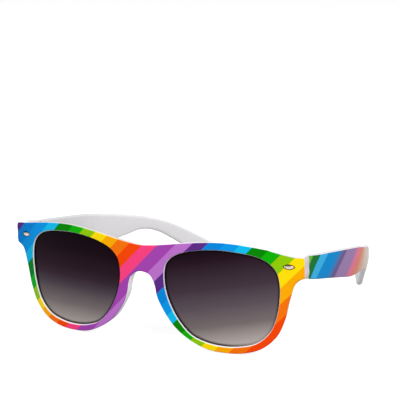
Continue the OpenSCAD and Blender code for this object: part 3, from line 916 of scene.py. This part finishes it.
def rivet_rings():
    rings = []
    for scale, drop in HEAD_RINGS:
        line = almond(RIVET_W, RIVET_H) * scale
        crown = RIVET_PROUD - np.sum(line**2, 1) / (2 * crown_r)
        y = np.full(len(line), RIVET_SINK) if drop is None else drop - np.maximum(crown, -0.1)
        rings.append(np.stack([line[:, 0], y, line[:, 1]], 1))
    return rings


rivet_head = head_object("rivet_head", rivet_rings(), ((0, RIVET_SINK, 0), (0, -RIVET_PROUD, 0)))


def rivet_turn(flip):
    """Leant with the pair, square to the face, and tilted."""
    square = Matrix.Rotation(LEAN, 3, "X") @ Matrix.Rotation(RIVET_TURN * flip, 3, "Z")
    return (square @ Matrix.Rotation(RIVET_TILT * flip, 3, "Y")).to_euler()


rivet_places = placed([on_face(0.0, 0.0, 0.0, flip) for flip in (1, -1)])
rivets = set_heads("rivet_heads", rivet_head, rivet_places, [rivet_turn(flip) for flip in (1, -1)])
print("rivets:", np.round(np.array(rivets.bound_box)[[0, 6]] * 1000, 2).tolist())

# %% [markdown]
# Finishes
#
# Light decides most of a finish, so each material keeps its colour nearly as it would be measured and
# lets the shader do the rest, apart from a few places of painted shade and painted reflection. Lengths in a
# material are in upright millimetres: a Mapping node turns the piece's own coordinates back from the frame,
# so that stripes and tints keep to the real sizes.


# %% Shared parts of the finishes
def linear(rgb):
    """Screen values 0 to 255 to the linear colour that a shader wants."""
    c = np.array(rgb, float) / 255
    c = np.where(c <= 0.04045, c / 12.92, ((c + 0.055) / 1.055) ** 2.4)
    return (*c.tolist(), 1.0)


class Finish(Board):
    """A material with a Principled shader, its coordinates in upright millimetres, and helpers."""

    def __init__(self, name, **constants):
        self.material = bpy.data.materials.new(name)
        self.material.use_nodes = True
        super().__init__(self.material.node_tree)
        self.tree.nodes.clear()
        self.shader = self.tree.nodes.new("ShaderNodeBsdfPrincipled")
        for key, value in constants.items():
            self.shader.inputs[key.replace("_", " ").title().replace("Ior", "IOR")].default_value = value
        out = self.tree.nodes.new("ShaderNodeOutputMaterial")
        self.tree.links.new(self.shader.outputs[0], out.inputs["Surface"])
        back = TURN.T @ PLACE * -1000
        own = self.node("ShaderNodeTexCoord", out="Object")
        self.upright = self.node("ShaderNodeMapping", {"vector_type": "POINT"}, {
            "Vector": own, "Scale": (1000, 1000, 1000), "Rotation": (-LEAN, 0, 0), "Location": tuple(back),
        })

    def xyz(self):
        """The upright coordinates, one wire each."""
        return [self.node("ShaderNodeSeparateXYZ", {}, {0: self.upright}, k) for k in range(3)]

    def value(self, name):
        """A number that the piece keeps on its points."""
        return self.node("ShaderNodeAttribute", {"attribute_name": name}, out="Fac")

    def noise(self, per_mm, detail=2, stretch=(1, 1, 1)):
        where = self.node("ShaderNodeMapping", {}, {"Vector": self.upright, "Scale": stretch})
        inputs = {"Vector": where, "Scale": per_mm, "Detail": detail, "Roughness": 0.5}
        return self.node("ShaderNodeTexNoise", {}, inputs, "Fac")

    def waver(self, per_mm, detail, width):
        """Noise that wanders on both sides of zero, as far apart as the width."""
        return (self.noise(per_mm, detail) - 0.5) * width

    def blend(self, factor, a, b, how="MIX"):
        inputs = {0: factor, 6: a, 7: b}
        return self.node("ShaderNodeMix", {"data_type": "RGBA", "blend_type": how}, inputs, 2)

    def bands(self, value, stops, how="CONSTANT"):
        """Colours along a value from 0 to 1; stops are (place, colour)."""
        made = self.tree.nodes.new("ShaderNodeValToRGB")
        ramp = made.color_ramp
        ramp.interpolation = how
        while len(ramp.elements) < len(stops):
            ramp.elements.new(1.0)
        # All places first, because the ramp sorts its elements by place
        for element, (place, _) in zip(ramp.elements, stops):
            element.position = place
        for element, (_, colour) in zip(ramp.elements, stops):
            element.color = linear(colour)
        self.tree.links.new(value.socket, made.inputs[0])
        return Wire(self, made.outputs[0])

    def relief(self, height_mm):
        """A bump from a height in millimetres."""
        inputs = {"Height": height_mm * 0.001, "Strength": 1.0, "Distance": 1.0}
        self.set("Normal", self.node("ShaderNodeBump", {}, inputs))

    def set(self, name, wire):
        self.tree.links.new(wire.socket, self.shader.inputs[name])


# %% [markdown]
# Moulded plastic, bare and printed
#
# The front and the temples are white plastic out of a mould, printed on the outer side. Up close the
# white isn't even: it is a shade darker in one place than in another. Its gloss changes a little over
# the surface, the wall has faint waves from cooling and a fine grain from the mould, and the ink lies
# on it as a film a hundredth of a millimetre thick. An image could hold all that, but it would have
# to be painted for each piece. Noise of a few sizes does it for both, and holds from every side.

# %% The surface that both plastics share
INK_THICK, WAVE_HEIGHT, GRAIN_HEIGHT = 0.012, 0.006, 0.0015
PLASTIC_ROUGH, ROUGH_WAVER = 0.3, 0.08
INK_WAVER = 0.22


def white_plastic(f, darker, lighter):
    return f.bands(f.noise(0.25, 3), [(0.3, darker), (0.7, lighter)], "LINEAR")


def moulded_surface(f, bare, ink_rough):
    """Gloss and relief; bare is 1 where no ink lies."""
    f.set("Roughness", bare * (PLASTIC_ROUGH - ink_rough) + ink_rough + f.waver(2.1, 3, ROUGH_WAVER))
    ink = (1 - bare) * INK_THICK
    f.relief(ink + f.noise(1.1, 2) * WAVE_HEIGHT + f.noise(7.0, 3) * GRAIN_HEIGHT)


def painted_darkening(f, colour, mask, tone):
    """The colour, darkened to a tone where the mask is 1: painted shade, and painted dark reflection on the
    rivets and lens rims.
    """
    return f.blend(mask, colour, linear(tone))


# %% [markdown]
# The striped print on the front
#
# The print is a film of ink stripes at 45 degrees, laid on the curved face. Because the film was
# flat before it was laid, the stripes are straight when the face is unrolled: the place along the
# film is the arc length from the middle less the height. A ramp with hard steps holds one repeat of
# fourteen stripes, and the fraction of the length picks the stripe.
# The ink stops where the edge turns away from the face, so a mask by depth leaves the plastic bare
# there, in the openings and on the back. The film was pulled down as it was laid, so it wraps further
# round the edges that face down, but not beside the nose. At the left end-piece it was cut short of
# the top. Real ink edges waver by a tenth of a millimetre, and these do as well.
# Some bare places see little light and look darker than the rest: the pits, the grooves, the wall
# along the right top, and the end that a temple shades. A path tracer finds most of that, and painted
# shade adds the rest, since the pits are shallow and the studio is bright. The right end of the ink,
# which turns away from the main light, gets painted shade as well.

# %% Ink on the front
REPEAT, FIRST_BLUE = 96.7, 8.3
# Where each stripe starts in a repeat, and its colour
STRIPES = [
    (0, (8, 134, 218)), (6.9, (11, 150, 230)), (13.6, (20, 186, 236)), (20.0, (9, 133, 6)),
    (27.8, (15, 175, 8)), (34.7, (143, 199, 8)), (41.7, (252, 219, 10)), (48.8, (250, 170, 5)),
    (55.7, (246, 115, 12)), (62.7, (245, 70, 7)), (68.9, (248, 66, 128)), (75.7, (162, 68, 174)),
    (83.2, (185, 112, 200)), (90.2, (92, 44, 135)),
]


def front_ink(f, x, z):
    """Stripes by the place along the flat film, with a faint mottle, and painted shade towards the right
    end, which turns away from the main light.
    """
    arc = (x / FACE_R).f("ARCSINE") * FACE_R
    place = (arc - z - FIRST_BLUE + f.waver(0.9, 3, INK_WAVER)) / REPEAT
    ink = f.bands(place.f("FRACT"), [(at / REPEAT, colour) for at, colour in STRIPES])
    mottle = f.bands(f.noise(3.2, 2), [(0.35, (225, 225, 225)), (0.65, (255, 255, 255))], "LINEAR")
    ink = f.blend(0.05, ink, f.blend(1.0, ink, mottle, "MULTIPLY"))
    # Painted shade: the ink darkens towards the right end, which faces away from the main box
    return painted_darkening(f, ink, (x * -1).fade(50, 74) * 0.25, (0, 40, 90))


# %% Where the front is bare
WRAP, WRAP_WAVER = 0.6, 0.04
CUT_FROM_X, CUT_END_X, CUT_Z, CUT_RISE = 58, 69, 19.3, 0.15


def front_bare(f, x, z, depth, in_eye):
    """1 where the film has ended: down the edges, at the end's wall and above the cut."""
    normal = f.node("ShaderNodeNewGeometry", out="Normal")
    facing_down = (f.node("ShaderNodeSeparateXYZ", {}, {0: normal}, out="Z") * -1).fade(0.05, 0.3)
    off_pads = x.f("ABSOLUTE").fade(14, 24).f("MAXIMUM", z.fade(5, 7)).f("MAXIMUM", z.fade(-2, -8))
    wrapped = facing_down * (1 - in_eye) * off_pads * WRAP
    down_edge = (depth - wrapped + f.waver(1.3, 2, WRAP_WAVER)).fade(0.1, 0.14)
    end_wall = x.fade(END_X - 0.25, END_X - 0.2)
    cut = (CUT_END_X - x).f("MAXIMUM", 0.0).f("POWER", 1.2) * CUT_RISE + CUT_Z
    above_cut = (z - cut).fade(0, 0.06) * x.fade(CUT_FROM_X - 0.1, CUT_FROM_X + 0.1)
    return down_edge.f("MAXIMUM", end_wall).f("MAXIMUM", above_cut)


# %% White plastic of the front, with its painted shade
# Painted shade: darker tones for the left end-piece wall, the right top wall, the rivet pits and the grooves
END_PAINTED_SHADE, TOP_PAINTED_SHADE, PIT_PAINTED_SHADE, GROOVE_PAINTED_SHADE = (208, 200, 209), (205, 203, 196), (52, 40, 36), (40, 28, 30)
PIT_REACH_X, PIT_REACH_Z = 3.3, 1.8


def front_plastic(f, x, z, depth, in_eye):
    """White, with painted shade for each place that sees little light."""
    white = white_plastic(f, (232, 232, 234), (238, 238, 239))
    # Painted shade on the left end-piece's wall, where the temple closes
    white = painted_darkening(f, white, x.fade(END_X - 0.7, END_X - 0.3), END_PAINTED_SHADE)
    # Painted shade in the rivet pits, which shows as a dark outline round each rivet
    across, upward = (x.f("ABSOLUTE") - RIVET_X) / PIT_REACH_X, (z - RIVET_Z) / PIT_REACH_Z
    pit = (across * across + upward * upward).fade(1.05, 0.95)
    white = painted_darkening(f, white, pit, PIT_PAINTED_SHADE)
    # Painted shade on the wall along the right top
    top_wall_shade = (z - 14).fade(0, 2) * (x * -1).fade(-5, 8) * x.fade(-66, -56) * (1 - in_eye)
    white = painted_darkening(f, white, top_wall_shade * 0.8, TOP_PAINTED_SHADE)
    # Painted shade on the groove walls inside the openings
    groove = depth.fade(0.6, 0.85) * depth.fade(FRONT_T - 1.2, FRONT_T - 1.4)
    return painted_darkening(f, white, groove * in_eye, GROOVE_PAINTED_SHADE)


# %% Material: printed front
def front_finish():
    f = Finish("printed_white_plastic", specular_ior_level=0.02)
    x, y, z = f.xyz()
    depth = y - (FACE_R - (FACE_R**2 - x * x).f("SQRT"))
    in_eye = f.value("in_eye")
    bare = front_bare(f, x, z, depth, in_eye)
    f.set("Base Color", f.blend(bare, front_ink(f, x, z), front_plastic(f, x, z, depth, in_eye)))
    moulded_surface(f, bare, ink_rough=0.42)
    return f.material


front_material = front_finish()
print("front finish:", len(front_material.node_tree.nodes), "nodes")

# %% [markdown]
# The temples
#
# The temple carries a film on its outer side only. Its stripes are straight too, a little flatter
# than on the front, and they blur into each other towards the bend, where the colour fades to white.
# A ramp with a soft step between two stripes does both: each step has its own width.
# The sweep left two values on each point: how far behind the seat it is, and how deep below the outer
# side. The first places the stripes, with the height for their slope. The second keeps the ink off
# the edges and the inner side, and paints a little shade on it where the film starts to turn over the edge.

# %% Material: printed temple
# Where each stripe starts along the film, how soft its first edge is, and its colour
TEMPLE_STRIPES = [
    (-30, 0.1, (104, 176, 34)), (-18.2, 1.6, (3, 114, 45)), (-10.0, 0.4, (56, 172, 222)),
    (-1.5, 0.6, (2, 135, 203)), (14.0, 6.5, (104, 90, 140)), (20.6, 1.6, (152, 123, 168)),
    (36.0, 5.5, (222, 114, 148)), (42.0, 5.5, (214, 128, 100)), (52.5, 13, (204, 184, 172)),
]
FILM_FROM, FILM_SPAN, FILM_SLOPE = -30.0, 95.0, 1.2


def temple_ink(f, behind, depth, z):
    """Stripes by the place along the film, with soft steps, and painted shade at the film's edge, where the
    surface turns away.
    """
    stops = [(FILM_FROM, TEMPLE_STRIPES[0][2])]
    for (_, _, before), (at, soft, after) in zip(TEMPLE_STRIPES, TEMPLE_STRIPES[1:]):
        stops += [(at - soft / 2, before), (at + soft / 2, after)]
    place = (behind - z * FILM_SLOPE + f.waver(0.9, 3, INK_WAVER) - FILM_FROM) / FILM_SPAN
    ink = f.bands(place, [((at - FILM_FROM) / FILM_SPAN, colour) for at, colour in stops], "LINEAR")
    # Painted shade: the ink darkens where the surface starts to turn over the edge
    return painted_darkening(f, ink, depth.fade(0.03, 0.2) * 0.35, (30, 30, 50))


def temple_finish():
    f = Finish("printed_temple_plastic", specular_ior_level=0.015)
    x, _, z = f.xyz()
    behind, depth = f.value("behind") * 1000, f.value("depth") * 1000
    bare = (depth + f.waver(1.3, 2, 0.05)).fade(0.27, 0.31).f("MAXIMUM", behind.fade(74, 98))
    # Near its hinge the inner side of the right temple stands in the shade of the front
    shaded = depth.fade(0.7, 1.2) * behind.fade(64, 30) * (x * -1).fade(0, 10)
    white = white_plastic(f, (227, 225, 228), (230, 228, 231))
    white = painted_darkening(f, white, shaded * 0.5, (200, 200, 203))
    f.set("Base Color", f.blend(bare, temple_ink(f, behind, depth, z), white))
    moulded_surface(f, bare, ink_rough=0.24)
    return f.material


temple_material = temple_finish()
print("temple finish:", len(temple_material.node_tree.nodes), "nodes")

# %% [markdown]
# Graded lenses
#
# The tint is a dye that the sheet was dipped into: dense purple-black at the top, warm grey at the
# bottom. How dense it is also decides how much shows through, so colour and alpha run on the same
# height. Real glass shading would need rays through two surfaces and bakes badly, while alpha gives
# the same look at this thickness. The two panes come from different dips: the right one is darker,
# and the left one's gradient is tilted.
# Round each pane runs a painted dark line: the shade of its groove and the rim mirrored in the pane.
# The pane's own distances place it. It is wider at
# the right pane's outer side, where the thick rim is mirrored, and weaker at the left one's lower end.

# %% Material: graded lens
DIP_TILT, RIM_SHADE_AND_REFLECTION = 0.2, (14, 6, 6)
# Share of the height, from the bottom, and the colour there
TINT_RIGHT = [
    (0, (172, 164, 158)), (0.2, (116, 106, 108)), (0.4, (71, 61, 71)), (0.5, (52, 37, 48)),
    (0.6, (40, 23, 34)), (0.8, (24, 6, 19)), (1, (10, 1, 8)),
]
TINT_LEFT = [
    (0, (182, 172, 168)), (0.2, (119, 108, 109)), (0.4, (91, 80, 88)), (0.6, (66, 52, 63)),
    (0.9, (36, 18, 31)), (1, (25, 9, 21)),
]


def lens_finish():
    f = Finish("graded_lens", specular_ior_level=0.03)
    x, _, z = f.xyz()
    up = (z + HALF_H) / EYE_H + f.waver(0.12, 2, 0.02)
    tilted = up - (x - EYE_X) * (DIP_TILT / EYE_H)
    on_left = x.fade(-5, 5)
    tint = f.blend(on_left, f.bands(up, TINT_RIGHT, "LINEAR"), f.bands(tilted, TINT_LEFT, "LINEAR"))
    # Painted shade and reflection: a dark line round each pane, wider at the right pane's outer side, weaker
    # at the left one's lower end
    wider = (x * -1).fade(44, 60) * (z + 12).fade(0, 8)
    weaker = x.fade(36, 52) * z.fade(0, -12)
    off_rim = (f.value("inside") / (1 + wider * 0.7)).fade(0.3, 1.3)
    rim = painted_darkening(f, tint, 0.85 - weaker * 0.6, RIM_SHADE_AND_REFLECTION)
    f.set("Base Color", f.blend(off_rim, rim, tint))
    f.set("Alpha", 0.86 + up.fade(-0.1, 0.5) * 0.14)
    f.set("Roughness", 0.04 + f.noise(0.6, 2) * 0.03)
    f.relief(f.noise(0.16, 1) * 0.004)
    return f.material


lens_material = lens_finish()
print("lens finish:", len(lens_material.node_tree.nodes), "nodes")

# %% [markdown]
# Metal
#
# The rivets are bright plated steel, polished so that they mirror the studio, with the faint orange
# peel that plating has. The upper half of each crown leans towards the dark of the room, and that dark
# reflection is painted into its colour as a brown tone. The hinge leaves and screws are plain steel with
# short brushed lines from the tumbler. All are metals, so their colour is the colour of what they mirror.


# %% Materials: rivets, hinges and screws
def metal_finish(name, colour, rough, per_mm, stretch, height, painted_dark_reflection=None):
    """Steel with a grain: how fine, how stretched and how high, and, if given, a painted dark reflection on
    the upper half.
    """
    f = Finish(name, metallic=1.0)
    grain = f.noise(per_mm, 3, stretch)
    base = f.bands(grain, [(0.3, tuple(c - 12 for c in colour)), (0.7, colour)], "LINEAR")
    # Painted reflection: the crown's upper half is darkened for the dark room it mirrors
    if painted_dark_reflection:
        upper_half = f.xyz()[2].fade(RIVET_Z - 0.1, RIVET_Z + 0.7)
        base = painted_darkening(f, base, upper_half * 0.75, painted_dark_reflection)
    f.set("Base Color", base)
    f.set("Roughness", rough + (grain - 0.5) * 0.12)
    f.relief(grain * height)
    return f.material


rivet_material = metal_finish(
    "plated_rivet", (240, 226, 210), 0.16, 1.4, (1, 1, 1), 0.004, painted_dark_reflection=(112, 86, 66)
)
hinge_material = metal_finish("brushed_hinge", (196, 194, 190), 0.34, 2.5, (1, 1, 9), 0.004)
screw_material = metal_finish("turned_screw", (178, 176, 174), 0.3, 3.0, (1, 1, 6), 0.003)
print("materials:", sorted(material.name for material in bpy.data.materials))

# %% [markdown]
# Pieces on their bodies
#
# Each piece is told which body carries it and which CAD node it stands for, and gets its material.
# The hinges and screws keep their CAD meshes, because their shapes are already right,
# and only get their steel.


# %% Finish, ride and replace
def hand_over(piece, material, body, slot, *nodes):
    piece.data.materials.clear()
    piece.data.materials.append(material)
    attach(piece, body)
    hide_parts(*nodes)


hand_over(front_moulding, front_material, "front", "front_plastic", "front_frame")
hand_over(lens_left, lens_material, "front", "lens", "lens_left")
hand_over(lens_right, lens_material, "front", "lens", "lens_right")
hand_over(rivets, rivet_material, "front", "rivet", "rivet_left", "rivet_right")
for side in ("left", "right"):
    hand_over(temples[side], temple_material, f"{side}_arm", "temple_plastic", f"temple_{side}")
    for node, material in (
        (f"front_hinge_{side}", hinge_material),
        (f"temple_hinge_{side}", hinge_material),
        (f"hinge_screw_{side}", screw_material),
    ):
        frame["nodes"][node].data.materials.clear()
        frame["nodes"][node].data.materials.append(material)
print("hinges and screws keep their CAD meshes")

# %% [markdown]
# The studio
#
# A catalogue picture is lit by large soft boxes over a white sweep. The floor here is grey paper that
# glows for the camera and for clear materials, just enough to look white with the lamps on it, and
# less for gloss. So it stays white, keeps a soft shadow, and lights the object only as paper would.
# The background does the same: it is white to the camera, and dimmer as a light and in gloss. The
# main box is high on the right, and a weaker one fills the left.


# %% Floor and background
FLOOR_REACH = 4.0


def ray_kinds(board, *kinds):
    return [board.node("ShaderNodeLightPath", out=f"Is {kind} Ray") for kind in kinds]


def white_floor():
    data = bpy.data.meshes.new("floor")
    r = FLOOR_REACH
    data.from_pydata([(-r, -r, 0), (r, -r, 0), (r, r, 0), (-r, r, 0)], [], [(0, 1, 2, 3)])
    floor = as_object("floor", data)
    material = bpy.data.materials.new("studio_white")
    material.use_nodes = True
    board = Board(material.node_tree)
    board.tree.nodes.clear()
    n = board.node
    camera, gloss, clear = ray_kinds(board, "Camera", "Glossy", "Transmission")
    seen = (camera + clear).f("MINIMUM", 1.0) + gloss * 0.6
    paper = n("ShaderNodeBsdfDiffuse", {}, {"Color": (0.5, 0.5, 0.5, 1), "Roughness": 0.5})
    glow = n("ShaderNodeEmission", {}, {"Color": (1, 1, 1, 1), "Strength": seen * 0.67})
    both = n("ShaderNodeAddShader", {}, {0: paper, 1: glow})
    out = board.tree.nodes.new("ShaderNodeOutputMaterial")
    board.tree.links.new(both.socket, out.inputs["Surface"])
    data.materials.append(material)


def white_world():
    world = bpy.data.worlds.new("studio")
    world.use_nodes = True
    board = Board(world.node_tree)
    board.tree.nodes.clear()
    n = board.node
    camera, gloss = ray_kinds(board, "Camera", "Glossy")
    strength = 0.55 + camera * 0.45 - gloss * 0.33
    sky = n("ShaderNodeBackground", {}, {"Color": (1, 1, 1, 1), "Strength": strength})
    out = board.tree.nodes.new("ShaderNodeOutputWorld")
    board.tree.links.new(sky.socket, out.inputs["Surface"])
    bpy.context.scene.world = world


white_floor()
white_world()
print(f"floor {2 * FLOOR_REACH:.0f} m square, background white to the camera")


# %% Soft boxes
AIM = (0, 0, 0.02)


def soft_box(name, place, target, size, watts):
    light = bpy.data.lights.new(name, "AREA")
    light.shape = "SQUARE"
    light.size = size
    light.energy = watts
    lamp = bpy.data.objects.new(name, light)
    bpy.context.scene.collection.objects.link(lamp)
    lamp.location = place
    lamp.rotation_euler = (Vector(target) - Vector(place)).to_track_quat("-Z", "Y").to_euler()


soft_box("main_box", (0.62, -0.5, 0.55), AIM, 0.45, 5.1)
soft_box("fill_box", (-0.6, -0.55, 0.5), AIM, 0.5, 3.0)
soft_box("back_box", (0.1, 0.7, 0.7), AIM, 0.5, 1.6)
soft_box("top_box", (0, 0, 0.9), AIM, 0.6, 0.9)
print("soft boxes:", len(bpy.data.lights))

# %% [markdown]
# The camera
#
# The picture's viewing angle was worked out from known points of the front and the temples. Here it
# is written as a place and two directions for the upright pair, right and up, and placed in the frame
# like the pieces, so the lean is counted once. The direction of view is square to both.

# %% Camera
CAMERA_AT = (378.06, -621.62, 218.909)
CAMERA_RIGHT = (0.87506417, 0.48345205, -0.02316914)
CAMERA_UP = (-0.09630889, 0.22083502, 0.97054443)
FOCAL_PX, PICTURE_PX, SENSOR = 1757.21, 400, 36.0

camera = bpy.data.cameras.new("camera")
camera.sensor_fit, camera.sensor_width = "HORIZONTAL", SENSOR
camera.lens = FOCAL_PX * SENSOR / PICTURE_PX
camera.clip_start, camera.clip_end = 0.05, 20
holder = bpy.data.objects.new("camera", camera)
bpy.context.scene.collection.objects.link(holder)
right, up = TURN @ CAMERA_RIGHT, TURN @ CAMERA_UP
axes = Matrix(np.stack([right, up, np.cross(right, up)], 1).tolist())
holder.matrix_world = Matrix.Translation(placed(CAMERA_AT)) @ axes.to_4x4()
bpy.context.scene.camera = holder
print(f"camera lens {camera.lens:.2f} mm at {np.round(placed(CAMERA_AT), 4)}")

# %% Render settings
bpy.context.scene.view_settings.view_transform = "Standard"
